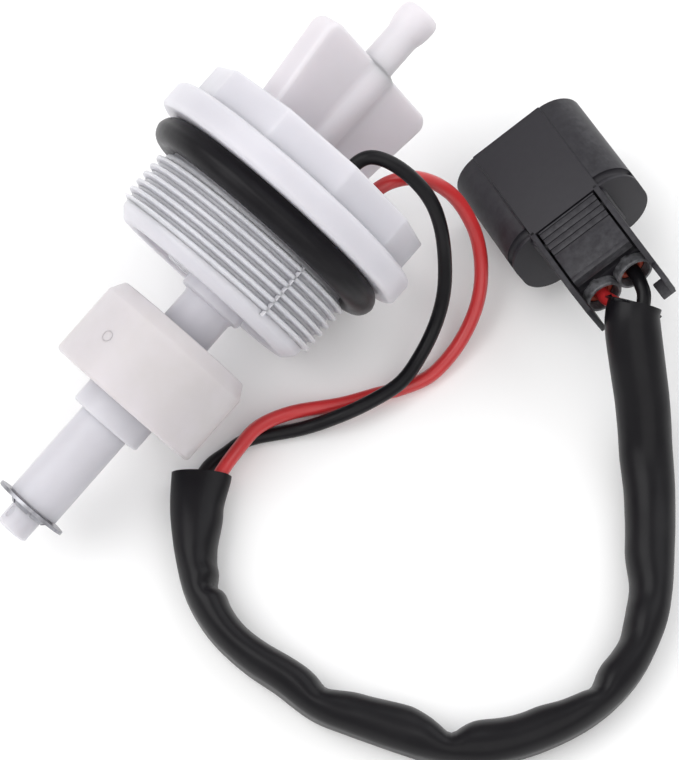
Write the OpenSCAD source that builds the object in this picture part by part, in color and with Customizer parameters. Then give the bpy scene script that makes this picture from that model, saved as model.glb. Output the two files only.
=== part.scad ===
/* [Pose on the surface] */
// Slope of the sensor's axis, with the flange rim on the surface
tilt = 12.9; // [12:0.1:12.9]
// How far the sensor is rolled about its own axis
roll = 235; // [230:1:240]
// Where the flange's sealing face crosses the X axis
sensor_x = 12; // [10:0.1:14]

/* [Plug body] */
// Radius of the flange
flange_r = 22.8; // [22:0.1:24]
// Thickness of the flange
flange_h = 4.5; // [4:0.1:5]
// Corner radius of the ten-sided spanner cap
cap_r = 20.4; // [20:0.1:21]
// Height of the spanner cap above the flange
cap_h = 5.6; // [5:0.1:6]
// Crest radius of the M36 thread
thread_r = 18; // [17.8:0.1:18.2]
// Thread pitch
pitch = 1.5; // [1.4:0.1:1.6]
// Number of full thread turns
turns = 6; // [4:1:6]
// Length of the plug in front of the sealing face
plug_l = 16.7; // [16:0.1:18]
// Depth of the recess in the plug's front face
recess_h = 1; // [0.8:0.1:1.5]

/* [Body O-ring] */
// Section diameter of the O-ring
ring_d = 4.7; // [4.5:0.1:4.8]

/* [Stem and float] */
// Radius of the stem that guides the float
stem_r = 4.2; // [4:0.1:4.3]
// Distance of the stem's shoulder from the sealing face
shoulder_z = 57.4; // [56:0.1:60]
// Offset of the stem from the plug's axis
stem_off = 4; // [3.8:0.1:4.2]
// Radius of the float
float_r = 12.75; // [12:0.05:12.8]
// Height of the float
float_h = 14; // [13:0.1:15]
// Height of the collar below the float
collar_h = 3.9; // [3:0.1:5]
// Distance of the float's lower face from the sealing face at rest
float_z = 37.5; // [36:0.1:39]

/* [Drain] */
// Offset of the drain spindle from the plug's axis
drain_off = 4.2; // [4:0.1:4.4]
// Radius of the spindle
spindle_r = 3; // [2.9:0.05:3]
// Half of the wing span at the knob's outer end
wing_r = 13.3; // [13:0.1:14.4]
// Thickness of a wing
wing_t = 5; // [4:0.1:5.5]
// Outer end of the knob, from the sealing face
knob_top = 26.1; // [25:0.1:28]
// Radius of the hose barb's shank
barb_r = 2.7; // [2.5:0.1:2.8]
// Largest radius of the barb's bulge
bulge_r = 3.25; // [3.1:0.05:3.4]

/* [Cable] */
// Outside diameter of each wire
wire_d = 2.2; // [2:0.1:2.4]
// Outside diameter of the cable sleeve
sleeve_d = 8.4; // [8:0.1:9]

/* [Connector] */
// Width of the shroud
shroud_w = 23; // [22.8:0.1:24]
// Height of the shroud
shroud_h = 14.4; // [14.2:0.1:15]
// Length of the shroud
shroud_l = 18.6; // [18:0.1:18.8]
// Distance between the two terminals
way_gap = 5.8; // [5.5:0.1:6]
// How far the tail of the connector is pitched up
connector_pitch = 16; // [14:0.5:17]
// How far the connector leans over to its left
connector_lean = 20.5; // [18:0.5:22]
// How far the connector is turned on the surface
connector_yaw = -20.4; // [-24:0.1:-18]

/* [Hidden] */
$fn = 96;
gap = 0.3;                       // clearance between free moving pieces
fit = 0.05;                      // radial clearance of a running fit
cap_top = flange_h + cap_h;      // rear face of the plug
flange_edge = 0.9;               // rounding of the flange's rim
// Height of the axis where it crosses the sealing face, with the rim on the surface
axis_z = (flange_r - flange_edge) * cos(tilt) + flange_edge * (1 - sin(tilt));
cap_turn = 13;                   // where the cap's first corner stands
root_r = thread_r - 0.92;        // root radius of the thread
crest_w = 0.5;                   // flat on each thread crest
first_crest = 5.7;               // first crest, from the sealing face
lead_z = 15;                     // where the lead-in chamfer starts
front_r = 15.7;                  // plug radius at its front face
recess_r = 13.5;                 // wall of the front recess
boss_r = 5.35;                   // collar at the foot of the stem
boss_out = 1.3;                  // how far it stands out of the plug
tip_r = 2.55;                    // thin end of the stem
tip_z = 62.2;                    // end of the stem
bore_r = 1.7;                    // blind bore for the reed switch
bore_z = 54;                     // bottom of that bore
reed_r = 1.2;                    // glass capsule radius
reed_l = 14;                     // glass capsule length
reed_z = 46;                     // middle of the capsule
lead_r = 0.3;                    // wire leads of the switch
pocket_z = 2;                    // floor of the potting pocket
pocket_r = 4.4;                  // half width of the pocket
pocket_in = 5.6;                 // inner end centre of the pocket
exit_x = 12;                     // where the wires leave the potting
hub_r = 5.6;                     // liner tube inside the float
collar_r = 6;                    // collar that stands below the float
magnet_r = 8.5;                  // ring magnet
magnet_z = 33.5;                 // lower face of the ring magnet
magnet_h = 5;
seat_z = 5;                      // the spindle's valve seat
inlet_r = 1.6;                   // drain inlet through the seat
drain_r = 1.25;                  // bore through spindle and barb
knob_z = cap_top + 0.4;          // underside of the knob
knob_hub_r = 4.3;
wing_base = 11.3;                // half span at the knob's foot
wing_round = 2.2;                // rounding of the wings' outer corners
shank_l = 6.3;                   // hose seat between knob and bulge
bulge_l = 4.6;
bulge_curve = 5;                 // radius of the bulge's barrel shape
nose_r = 2.4;                    // thin end of the spindle, with the cross hole
nose_l = 0.9;                    // its cone, which closes the seat
seal_r = 0.43;                   // section radius of the spindle seal
groove_r = 2.2;
groove_z = 1;                    // the seal's place, in front of the sealing face

// Connector, measured from the lower edge of its mouth, rear towards -Y
shroud_round = 5.4;
shroud_wall = 1.3;
rear_wall = 2;
core_w = 11.6;                   // block that carries the terminals, at its seals
nose_w = 9.8;                    // and inside the shroud
core_low = 3.7;
core_high = 9.7;
core_front = 7;
tail_l = 30.2;                   // rear face of the seal rims
wall_l = 33;                     // rear end of the side walls
prong_l = 36.8;                  // rear end of the prong on the right wall
tail_w = 12.7;                   // over the side walls
side_wall = 0.9;
way_z = 6.7;                     // height of the terminals
way_side = 2.8;                  // square terminal channel
seal_pocket_r = 2.35;
seal_pocket_l = 6.5;
lever_w = 10.2;
lever_low = 12.7;                // underside of the thumb pad
lever_high = 14.4;
arm_low = 10.6;                  // hook arm inside the shroud
arm_high = 11.4;
arm_front = 9.2;
arm_w = 6.4;
pivot_y = 20.2;
pivot_z = 11.7;
pivot_r = 0.8;
grip_pitch = 1.15;               // grip lines across the front of the lever
rim_r = 3.05;                    // rims round the two wire seals
connector_at = [50.6, -20.6, 2.4]; // middle of the mouth's lower edge

// Cable routes on the surface, from the plug to the connector
BLACK_ROUTE = [[18.3, -8.2, 33], [20.8, -8, 33.8], [22.9, -9.1, 34.4], [24.5, -11.7, 33.6],
    [25.7, -15.1, 31], [26.3, -18.1, 27], [26, -20.5, 22], [24.7, -22.8, 16], [22.2, -25.1, 11],
    [18.8, -26.7, 7.4], [14.2, -27.9, 5.2], [9, -28.5, 4.3], [3.9, -27.3, 4.1], [-1.1, -25.1, 3.3],
    [-6.1, -21.7, 1.3], [-12.6, -17, 1.2], [-16.7, -15.9, 1.2], [-21.5, -15.8, 2.2]];
RED_ROUTE = [[19.4, -11.5, 28.4], [21.9, -11.5, 28.6], [24.4, -12.3, 28.6], [27.4, -13.8, 27.2],
    [29.9, -15.9, 24.4], [31.6, -18.5, 20.5], [31.9, -21.4, 16.5], [31.3, -24, 12.5],
    [29.2, -26.7, 9], [26.2, -28.8, 6.5], [22.5, -30.1, 4.2], [18.1, -30.7, 2.4], [13.3, -30.4, 1.5],
    [8.9, -28.4, 1.2], [5.9, -26.4, 1.2], [0.8, -23.4, 1.4], [-5.5, -19.2, 2.7], [-10.9, -17.3, 3.9],
    [-15.3, -17.4, 3.9], [-21.2, -18.5, 4.4]];
SLEEVE_ROUTE = [[-22.6, -16.2, 3.9], [-27.4, -20.2, 3.9], [-31.6, -25, 3.9], [-34.6, -29.8, 3.9],
    [-36.2, -35.4, 3.9], [-36.3, -41.3, 3.9], [-35.5, -47.1, 3.9], [-35, -53, 3.9],
    [-33.2, -58, 3.9], [-30.6, -64.3, 3.9], [-27.7, -70.2, 3.9], [-23.5, -74.8, 3.9],
    [-17.4, -78.6, 3.9], [-10.1, -81.2, 3.9], [-2.9, -81.6, 3.9], [3.9, -79.9, 3.9],
    [8.6, -77.4, 3.9], [14.1, -73.3, 3.9], [20.2, -68.4, 3.9], [25.4, -63.2, 5.6],
    [29.2, -58.9, 9.4], [32.5, -54.5, 13.6], [35.8, -50.4, 16.7], [37.7, -49.2, 17.5]];
BLACK_TAIL = [[37.6, -50.6, 17.6], [39.5, -49.3, 18.2], [40.6, -47.7, 18.2], [41.5, -46.1, 17.7],
    [42.6, -43.1, 16.8]];
RED_TAIL = [[35.6, -48.9, 16.3], [36.2, -47.4, 16.7], [36.2, -46, 16.4], [36.3, -44.6, 15.8],
    [37.4, -41.7, 14.9]];

function unit(v) = v / norm(v);

// Tube along a route: a ring of points at every route point, closed at both ends
module tube(route, d) {
    sides = 8;
    last = len(route) - 1;
    rings = [for (i = [0 : last])
        let (t = unit(route[min(i + 1, last)] - route[max(i - 1, 0)]),
             across = unit(cross(t, [0, 0, 1])), over = cross(across, t))
        for (k = [0 : sides - 1])
            route[i] + d / 2 * (cos(360 * (k + 0.5) / sides) * across
                + sin(360 * (k + 0.5) / sides) * over)];
    walls = [for (i = [0 : last - 1]) for (k = [0 : sides - 1])
        let (a = i * sides + k, b = i * sides + (k + 1) % sides)
            each [[a, a + sides, b], [b, a + sides, b + sides]]];
    start = [for (k = [0 : sides - 1]) k];
    end = [for (k = [sides - 1 : -1 : 0]) last * sides + k];
    polyhedron(rings, concat(walls, [start, end]));
}

// The plug's own frame: +Z out of the hose barb, +X from the drain towards the stem
module on_sensor() {
    translate([sensor_x, 0, axis_z]) rotate([0, 90 - tilt, 0])
        rotate([0, 0, roll]) children();
}

// A piece in the stem's line, and one in the drain's line
module on_stem() { on_sensor() translate([stem_off, 0, 0]) children(); }
module on_drain() { on_sensor() translate([-drain_off, 0, 0]) children(); }

// The connector's own frame
module on_connector() {
    translate(connector_at) rotate([0, 0, connector_yaw])
        rotate([-connector_pitch, 0, 0]) rotate([0, -connector_lean, 0]) children();
}

// Cylinder from one height to another
module rod(r, low, high) { translate([0, 0, low]) cylinder(r = r, h = high - low); }

// Slab with round edges, made by turning its outline
module round_disc(r, low, high, edge) {
    rotate_extrude() union() {
        translate([0, low]) square([r - edge, high - low]);
        translate([0, low + edge]) square([r, high - low - 2 * edge]);
        for (z = [low + edge, high - edge]) translate([r - edge, z]) circle(edge, $fn = 32);
    }
}

module thread_profile() {
    crest_z = [for (i = [0 : turns - 1]) -first_crest - i * pitch];
    flank = (pitch - crest_w) / 2 - 0.1;
    polygon(concat([[0, 0], [0, -plug_l], [front_r, -plug_l], [root_r, -lead_z]],
        [for (i = [turns - 1 : -1 : 0]) each [
            [root_r, crest_z[i] - crest_w / 2 - flank], [thread_r, crest_z[i] - crest_w / 2],
            [thread_r, crest_z[i] + crest_w / 2], [root_r, crest_z[i] + crest_w / 2 + flank]]],
        [[root_r, -ring_d], [16.3, -ring_d], [16.3, 0]]));
}

module pocket_outline(r) {
    translate([pocket_in, 0]) circle(r);
    translate([exit_x, 0]) circle(r);
    translate([pocket_in, -r]) square([exit_x - pocket_in, 2 * r]);
}

module threaded_body() color("gainsboro") on_sensor() difference() {
    union() {
        rotate_extrude() thread_profile();
        round_disc(flange_r, 0, flange_h, flange_edge);
        rotate([0, 0, cap_turn]) translate([0, 0, flange_h - 0.01])
            cylinder(r = cap_r, h = cap_h + 0.01, $fn = 10);
    }
    difference() {
        rod(recess_r, -plug_l - 1, -plug_l + recess_h);
        translate([-drain_off, 0, 0]) rod(spindle_r + 1.6, -plug_l + 0.8, 0);
    }
    translate([stem_off, 0, 0]) {
        rod(stem_r, -plug_l - 1, pocket_z + 1);
        rod(boss_r, -plug_l - 1, -plug_l + recess_h);
    }
    translate([0, 0, pocket_z]) linear_extrude(cap_top) pocket_outline(pocket_r);
    translate([-drain_off, 0, 0]) {
        rod(spindle_r + fit, -seat_z, cap_top + 1);
        rod(inlet_r, -plug_l - 1, 0);
        translate([0, 0, -seat_z - 1.3]) cylinder(r1 = inlet_r, r2 = spindle_r + fit, h = 1.31);
    }
}

module body_o_ring() color("#1a171e") on_sensor() translate([0, 0, -ring_d / 2 - 0.02])
    rotate_extrude() translate([16.33 + ring_d / 2, 0]) circle(ring_d / 2, $fn = 48);

module stem_tube() color("#c9c8d0") on_stem() difference() {
    union() {
        rod(stem_r, -shoulder_z, pocket_z);
        rod(boss_r, -plug_l - boss_out, -plug_l + recess_h);
        rod(tip_r, -tip_z, -shoulder_z);
    }
    rod(bore_r, -bore_z, pocket_z + 1);
    translate([0, -tip_r, -tip_z + 2.2]) rotate([90, 0, 0]) cylinder(r = 1, h = 1, center = true);
}

module reed_switch() color("#c8d8d0") on_stem() {
    rod(reed_r, -reed_z - reed_l / 2 + reed_r, -reed_z + reed_l / 2 - reed_r);
    for (s = [-1, 1]) translate([0, 0, -reed_z + s * (reed_l / 2 - reed_r)]) sphere(reed_r);
}

module reed_leads() color("silver") on_stem() {
    rod(lead_r, -reed_z + reed_l / 2, pocket_z);
    translate([bore_r - lead_r - 0.05, 0, 0]) rod(0.12, -bore_z + 0.4, pocket_z);
    rod(lead_r, -bore_z + 0.4, -reed_z - reed_l / 2);
    translate([-lead_r, -0.12, -bore_z + 0.3]) cube([bore_r + 0.1, 0.24, 0.3]);
}

module potting_fill() color("#26242a") on_sensor()
    translate([0, 0, pocket_z]) linear_extrude(cap_top - 0.5 - pocket_z)
        pocket_outline(pocket_r);

module retaining_clip() color("#65636e") on_stem() translate([0, 0, -shoulder_z]) difference() {
    rotate_extrude() polygon([[tip_r, -0.9], [tip_r + 0.25, -1.3], [3.6, -0.5], [5.85, -0.5],
        [5.85, 0], [3.4, 0]]);
    for (a = [0 : 60 : 300]) rotate([0, 0, a + 30]) translate([tip_r - 0.5, -0.25, -2])
        cube([1.6, 0.5, 3]);
}

module float_shell() color("#ece9ec") on_stem() difference() {
    rotate_extrude() polygon([[hub_r, -float_z], [float_r - 0.4, -float_z],
        [float_r, -float_z + 0.4], [float_r, -float_z + float_h - 2.3],
        [float_r - 1.3, -float_z + float_h], [hub_r, -float_z + float_h]]);
    rod(magnet_r, -magnet_z, -magnet_z + magnet_h);
}

module float_hub() color("#dcd8dc") on_stem() difference() {
    union() {
        rod(hub_r, -float_z, -float_z + float_h - 0.4);
        rod(collar_r, -float_z - collar_h, -float_z);
    }
    rod(stem_r + gap, -float_z - collar_h - 1, 0);
}

module float_magnet() color("#3c3a3e") on_stem() difference() {
    rod(magnet_r - 0.02, -magnet_z + 0.02, -magnet_z + magnet_h - 0.02);
    rod(hub_r + 0.02, -magnet_z - 1, -magnet_z + magnet_h + 1);
}

// One wing, drawn in its own plane: a tapered blade with a round outer corner
module wing_outline() {
    c = wing_r - wing_round;
    for (s = [-1, 1]) scale([s, 1]) {
        polygon([[0, knob_z], [wing_base, knob_z], [wing_r, knob_top - wing_round],
            [c, knob_top - wing_round], [c, knob_top], [0, knob_top]]);
        translate([c, knob_top - wing_round]) circle(wing_round, $fn = 48);
    }
}

// Spindle, hub and barb, turned as one piece
module knob_profile() {
    polygon([[0, -seat_z - nose_l], [nose_r - nose_l / 2, -seat_z - nose_l], [nose_r, -seat_z - 0.4],
        [nose_r, -1], [spindle_r, -0.4], [spindle_r, groove_z - 0.6], [groove_r, groove_z - 0.6],
        [groove_r, groove_z + 0.6], [spindle_r, groove_z + 0.6], [spindle_r, knob_z],
        [knob_hub_r, knob_z], [knob_hub_r, knob_top], [barb_r, knob_top],
        [barb_r, knob_top + shank_l + bulge_l], [0, knob_top + shank_l + bulge_l]]);
    translate([0, knob_top + shank_l]) intersection() {
        square([bulge_r + 1, bulge_l]);
        translate([bulge_r - bulge_curve, bulge_l / 2]) circle(bulge_curve);
    }
}

module drain_knob() color("#e2dde2") on_drain() difference() {
    union() {
        rotate_extrude() knob_profile();
        rotate([0, 0, 90]) rotate([90, 0, 0]) linear_extrude(wing_t, center = true)
            wing_outline();
    }
    rod(drain_r, -seat_z + 0.9, knob_top + shank_l + bulge_l + 1);
    translate([0, 0, -seat_z + 2.2]) rotate([90, 0, 0]) cylinder(r = 0.8, h = 8, center = true);
}

module drain_seal() color("#2a282c") on_drain() translate([0, 0, groove_z])
    rotate_extrude() translate([groove_r + seal_r, 0]) circle(seal_r - 0.01, $fn = 32);

module black_wire() color("#1a171e") tube(BLACK_ROUTE, wire_d);
module red_wire() color("#c83232") tube(RED_ROUTE, wire_d);
module cable_sleeve() color("#1c1b21") tube(SLEEVE_ROUTE, sleeve_d);
module black_wire_tail() color("#1a171e") tube(BLACK_TAIL, wire_d);
module red_wire_tail() color("#c83232") tube(RED_TAIL, wire_d);

// Rounded rectangle as wide as w and as high as h, standing on the surface
module shroud_outline(inset) {
    r = shroud_round - inset;
    w = shroud_w - 2 * inset;
    h = shroud_h - 2 * inset;
    translate([0, inset]) {
        for (s = [-1, 1]) for (z = [r, h - r]) translate([s * (w / 2 - r), z]) circle(r);
        translate([-w / 2 + r, 0]) square([w - 2 * r, h]);
        translate([-w / 2, r]) square([w, h - 2 * r]);
    }
}

// Block by its front and rear distance behind the mouth, its sides and its heights
module block(front, rear, left, right, low, high) {
    translate([left, -rear, low]) cube([right - left, rear - front, high - low]);
}

module behind_mouth(front, rear) {
    translate([0, -front, 0]) rotate([90, 0, 0]) linear_extrude(rear - front) children();
}

module connector_housing() color("#39363f") on_connector() difference() {
    union() {
        difference() {
            behind_mouth(0, shroud_l) shroud_outline(0);
            behind_mouth(-1, shroud_l - rear_wall) shroud_outline(shroud_wall);
        }
        block(core_front, shroud_l, -nose_w / 2, nose_w / 2, core_low, core_high);
        block(shroud_l - rear_wall, tail_l - 1.5, -core_w / 2, core_w / 2, core_low, core_high);
        for (s = [-1, 1]) translate([s * way_gap / 2, 0, way_z])
            behind_mouth(tail_l - 1.6, tail_l) circle(rim_r);
        for (s = [-1, 1]) {
            x = s * (tail_w - side_wall) / 2;
            block(shroud_l - 0.1, tail_l, x - side_wall / 2, x + side_wall / 2, core_low, shroud_h);
            block(tail_l - 0.1, wall_l, x - side_wall / 2, x + side_wall / 2, core_low,
                core_high + 1);
            translate([x, -pivot_y, pivot_z]) rotate([0, 90, 0])
                cylinder(r = 1.6, h = side_wall, center = true);
        }
        block(wall_l - 0.1, prong_l, tail_w / 2 - 0.85, tail_w / 2 - 0.05, core_high - 2.6,
            core_high + 0.6);
    }
    block(shroud_l - rear_wall - 1, shroud_l + 1, -arm_w / 2 - gap, arm_w / 2 + gap,
        arm_low - gap, arm_high + 0.9);
    translate([0, -pivot_y, pivot_z]) rotate([0, 90, 0])
        cylinder(r = pivot_r + fit, h = tail_w + 1, center = true);
    for (s = [-1, 1]) translate([s * way_gap / 2, 0, way_z]) {
        translate([0, -tail_l, 0]) rotate([-90, 0, 0])
            cylinder(r = seal_pocket_r, h = seal_pocket_l + 1.5);
        translate([-way_side / 2, -tail_l, -way_side / 2]) cube([way_side, tail_l, way_side]);
    }
}

module latch_lever() color("#2e2b33") on_connector() difference() {
    union() {
        block(shroud_l + gap, tail_l - 0.3, -lever_w / 2, lever_w / 2, lever_low, lever_high);
        block(pivot_y - 0.9, pivot_y + 0.9, -lever_w / 2, lever_w / 2, arm_low, lever_high);
        block(arm_front, pivot_y + 0.9, -arm_w / 2, arm_w / 2, arm_low, arm_high);
        block(arm_front, arm_front + 1.2, -arm_w / 2, arm_w / 2, arm_low, arm_high + 0.4);
        translate([0, -pivot_y, pivot_z]) rotate([0, 90, 0])
            cylinder(r = pivot_r, h = tail_w - 0.4, center = true);
    }
    for (i = [0 : 4]) block(shroud_l + 0.6 + i * grip_pitch, shroud_l + 0.9 + i * grip_pitch,
        -lever_w / 2 - 1, lever_w / 2 + 1, lever_high - 0.25, lever_high + 1);
}

module terminal_lock() color("#4a4852") on_connector() difference() {
    block(core_front - 1.4, core_front, -nose_w / 2, nose_w / 2, core_low, core_high);
    for (s = [-1, 1]) translate([s * way_gap / 2 - 1, -core_front - 1, way_z - 1])
        cube([2, 4, 2]);
}

module interface_seal() color("#c8552e") on_connector() difference() {
    block(11.4, shroud_l - rear_wall, -nose_w / 2 - 0.6, nose_w / 2 + 0.6,
        core_low - 0.6, core_high + 0.6);
    block(11, shroud_l, -nose_w / 2, nose_w / 2, core_low, core_high);
}

module wire_seal(side) color("#b9472c") on_connector()
    translate([side * way_gap / 2, -tail_l + 2.2, way_z]) rotate([-90, 0, 0]) difference() {
        union() {
            rod(seal_pocket_r - 0.35, 0, 5.6);
            for (z = [0.2, 1.9, 3.6]) rod(seal_pocket_r, z, z + 0.8);
        }
        rod(wire_d / 2, -1, 6);
    }

module wire_seal_left() wire_seal(-1);
module wire_seal_right() wire_seal(1);

module terminal(side) color("#b8b0a0") on_connector()
    translate([side * way_gap / 2, 0, way_z]) difference() {
        block(core_front + 0.3, tail_l - 8, -1.39, 1.39, -1.39, 1.39);
        block(core_front, core_front + 9, -0.8, 0.8, -0.8, 0.8);
    }

module terminal_left() terminal(-1);
module terminal_right() terminal(1);

threaded_body();
body_o_ring();
stem_tube();
reed_switch();
reed_leads();
potting_fill();
retaining_clip();
float_shell();
float_hub();
float_magnet();
drain_knob();
drain_seal();
black_wire();
red_wire();
cable_sleeve();
black_wire_tail();
red_wire_tail();
connector_housing();
latch_lever();
terminal_lock();
interface_seal();
wire_seal_left();
wire_seal_right();
terminal_left();
terminal_right();
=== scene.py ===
"""Float valve: the visible model, built round its CAD frame."""

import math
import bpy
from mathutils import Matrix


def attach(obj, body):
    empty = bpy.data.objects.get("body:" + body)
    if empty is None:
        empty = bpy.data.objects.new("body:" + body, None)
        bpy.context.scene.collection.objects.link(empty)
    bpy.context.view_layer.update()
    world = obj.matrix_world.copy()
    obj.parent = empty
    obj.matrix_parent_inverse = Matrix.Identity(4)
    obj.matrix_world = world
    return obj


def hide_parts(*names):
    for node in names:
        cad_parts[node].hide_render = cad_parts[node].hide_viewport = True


bl_info = {
    "name": "Float valve",
    "version": (1, 0, 0),
    "blender": (4, 5, 0),
    "location": "3D View > Sidebar > Float valve",
    "description": "Builds the visible pieces of a fuel filter's float valve",
    "category": "Object",
}

import bmesh
import bpy
from bpy.props import FloatProperty, FloatVectorProperty, PointerProperty
from mathutils import Matrix, Vector

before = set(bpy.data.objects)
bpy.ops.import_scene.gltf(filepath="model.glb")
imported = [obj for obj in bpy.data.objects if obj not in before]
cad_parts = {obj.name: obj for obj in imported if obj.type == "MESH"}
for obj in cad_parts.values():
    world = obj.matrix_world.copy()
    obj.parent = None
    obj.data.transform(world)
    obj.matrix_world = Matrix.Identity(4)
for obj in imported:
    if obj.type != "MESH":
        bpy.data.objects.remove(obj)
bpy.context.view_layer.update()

MM = 0.001
FINE = 96                 # steps round a large turned piece
SMALL = 48                # steps round a small one


# ---------------------------------------------------------------- sizes and colours

def length(name, description, millimetres):
    return FloatProperty(name=name, description=description, default=millimetres * MM,
                         unit="LENGTH", subtype="DISTANCE", precision=4)


def colour(name, description, rgb):
    return FloatVectorProperty(name=name, description=description, default=rgb,
                               size=3, min=0, max=1, subtype="COLOR")


class ValveSizes(bpy.types.PropertyGroup):
    """Sizes of the moulded pieces."""

    flange_radius: length("Flange radius", "Radius of the round flange", 22.8)
    flange_height: length("Flange height", "Thickness of the flange", 4.5)
    cap_radius: length("Cap radius", "Corner radius of the ten-sided spanner cap", 20.4)
    cap_height: length("Cap height", "Height of the cap above the flange", 5.6)
    thread_radius: length("Thread radius", "Crest radius of the plug's thread", 18)
    pitch: length("Pitch", "Rise of the thread in one turn", 1.5)
    ring_section: length("O-ring section", "Section diameter of the large O-ring", 4.7)
    stem_radius: length("Stem radius", "Radius of the stem that guides the float", 4.2)
    float_radius: length("Float radius", "Outside radius of the float", 12.75)
    float_height: length("Float height", "Height of the float without its collar", 14)
    wing_span: length("Wing span", "Half of the drain knob's span", 13.3)
    wing_thickness: length("Wing thickness", "Thickness of the knob's wings", 5)
    shroud_width: length("Shroud width", "Width of the connector's shroud", 23)
    shroud_height: length("Shroud height", "Height of the connector's shroud", 14.4)
    shroud_length: length("Shroud length", "Length of the connector's shroud", 18.6)


class CordSizes(bpy.types.PropertyGroup):
    """Sizes of the wires and their sleeve."""

    wire: length("Wire diameter", "Outside diameter of each wire", 2.2)
    sleeve: length("Sleeve diameter", "Outside diameter of the sleeve", 8.4)
    sleeve_wall: length("Sleeve wall", "Wall thickness of the sleeve", 0.55)


class ValveColours(bpy.types.PropertyGroup):
    """Colours of the materials."""

    nylon: colour("Nylon", "White moulded nylon of the plug", (0.62, 0.61, 0.655))
    knob: colour("Knob", "White nylon of the drain knob", (0.69, 0.66, 0.695))
    float_body: colour("Float", "Milky plastic of the float", (0.61, 0.575, 0.60))
    rubber: colour("Rubber", "Black rubber", (0.006, 0.0054, 0.007))
    red: colour("Red wire", "Red insulation", (0.56, 0.027, 0.030))
    black: colour("Black wire", "Black insulation and sleeve", (0.005, 0.0045, 0.006))
    housing: colour("Housing", "Black nylon of the connector", (0.016, 0.0145, 0.019))
    seal: colour("Seal", "Orange-red silicone", (0.50, 0.065, 0.028))
    steel: colour("Steel", "Plated spring steel", (0.22, 0.22, 0.24))


# ---------------------------------------------------------------- places

def turn(degrees, axis):
    return Matrix.Rotation(math.radians(degrees), 4, axis)


def shift(x, y, z):
    return Matrix.Translation((x, y, z))


TILT = 12.9               # slope of the sensor's axis
ROLL = 235                # turn of the sensor about that axis
AXIS_HEIGHT = 22.046      # height of the axis at the flange's front face
TO_METRES = Matrix.Scale(MM, 4)
SENSOR = TO_METRES @ shift(12, 0, AXIS_HEIGHT) @ turn(90 - TILT, "Y") @ turn(ROLL, "Z")
STEM_OFF, DRAIN_OFF = 4, -4.2    # how far both lie beside the sensor's axis
STEM = SENSOR @ shift(STEM_OFF, 0, 0)
DRAIN = SENSOR @ shift(DRAIN_OFF, 0, 0)
CONNECTOR = (TO_METRES @ shift(50.6, -20.6, 2.4) @ turn(-20.4, "Z") @ turn(-16, "X")
             @ turn(-20.5, "Y"))
SHROUD = CONNECTOR @ turn(90, "X")    # X across, Y up, Z towards the rear


# ---------------------------------------------------------------- modelling helpers

def clear_selection():
    if bpy.context.object and bpy.context.object.mode != "OBJECT":
        bpy.ops.object.mode_set(mode="OBJECT")
    bpy.ops.object.select_all(action="DESELECT")


def only(piece):
    clear_selection()
    piece.select_set(True)
    bpy.context.view_layer.objects.active = piece


def out_of_edit(name):
    bpy.ops.mesh.select_all(action="SELECT")
    bpy.ops.mesh.normals_make_consistent(inside=False)
    bpy.ops.object.mode_set(mode="OBJECT")
    piece = bpy.context.object
    piece.name = piece.data.name = name
    return piece


def outwards(piece, name):
    """Turn every face of a mesh outwards."""
    only(piece)
    bpy.ops.object.mode_set(mode="EDIT")
    return out_of_edit(name)


def slice_across(piece, place, normal):
    """Add a ring of edges where a plane crosses the piece."""
    only(piece)
    bpy.ops.object.mode_set(mode="EDIT")
    bpy.ops.mesh.select_all(action="SELECT")
    bpy.ops.mesh.bisect(plane_co=place, plane_no=normal)
    bpy.ops.object.mode_set(mode="OBJECT")


def select_all_points():
    bpy.ops.mesh.select_mode(type="VERT")
    bpy.ops.mesh.select_all(action="SELECT")


def extrude(x=0, y=0, z=0):
    bpy.ops.mesh.extrude_region_move(TRANSFORM_OT_translate={"value": (x, y, z)})


def turned(name, outline, steps=FINE):
    """A piece turned about Z. An outline that ends where it starts makes a ring."""
    clear_selection()
    radius, height = outline[0]
    bpy.ops.mesh.primitive_circle_add(vertices=steps, radius=radius, enter_editmode=True)
    select_all_points()
    bpy.ops.transform.translate(value=(0, 0, height))
    for (r, z), (next_r, next_z) in zip(outline, outline[1:]):
        extrude(z=next_z - z)
        if next_r != r:
            share = next_r / r
            bpy.ops.transform.resize(value=(share, share, 1), center_override=(0, 0, next_z))
    bpy.ops.mesh.select_all(action="SELECT")
    bpy.ops.mesh.remove_doubles(threshold=0.002)
    if outline[0] != outline[-1]:
        bpy.ops.mesh.fill_holes(sides=0)
    return out_of_edit(name)


def slab(name, x, y, z, radius=0, rounds=8):
    """A block between two limits each way, with its upright edges rounded."""
    clear_selection()
    bpy.ops.mesh.primitive_plane_add(size=1, enter_editmode=True)
    select_all_points()
    bpy.ops.transform.resize(value=(x[1] - x[0], y[1] - y[0], 1))
    if radius:
        bpy.ops.mesh.bevel(offset=radius, segments=rounds, affect="VERTICES")
    bpy.ops.mesh.select_all(action="SELECT")
    bpy.ops.transform.translate(value=((x[0] + x[1]) / 2, (y[0] + y[1]) / 2, z[0]))
    extrude(z=z[1] - z[0])
    return out_of_edit(name)


def rod(name, radius, low, high, steps=SMALL):
    return turned(name, [(radius, low), (radius, high)], steps)


def use(piece, kind, **settings):
    """Add a modifier with these settings and apply it."""
    only(piece)
    modifier = piece.modifiers.new(kind.title(), kind)
    for key, value in settings.items():
        setattr(modifier, key, value)
    bpy.ops.object.modifier_apply(modifier=modifier.name)
    return piece


def soften(piece, width, rounds=2, angle=30):
    """Round every edge that is sharper than the angle."""
    return use(piece, "BEVEL", width=width, segments=rounds, limit_method="ANGLE",
               angle_limit=math.radians(angle))


def cut(piece, *tools):
    for tool in tools:
        use(piece, "BOOLEAN", operation="DIFFERENCE", object=tool, solver="EXACT")
        bpy.data.objects.remove(tool)
    return piece


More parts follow.
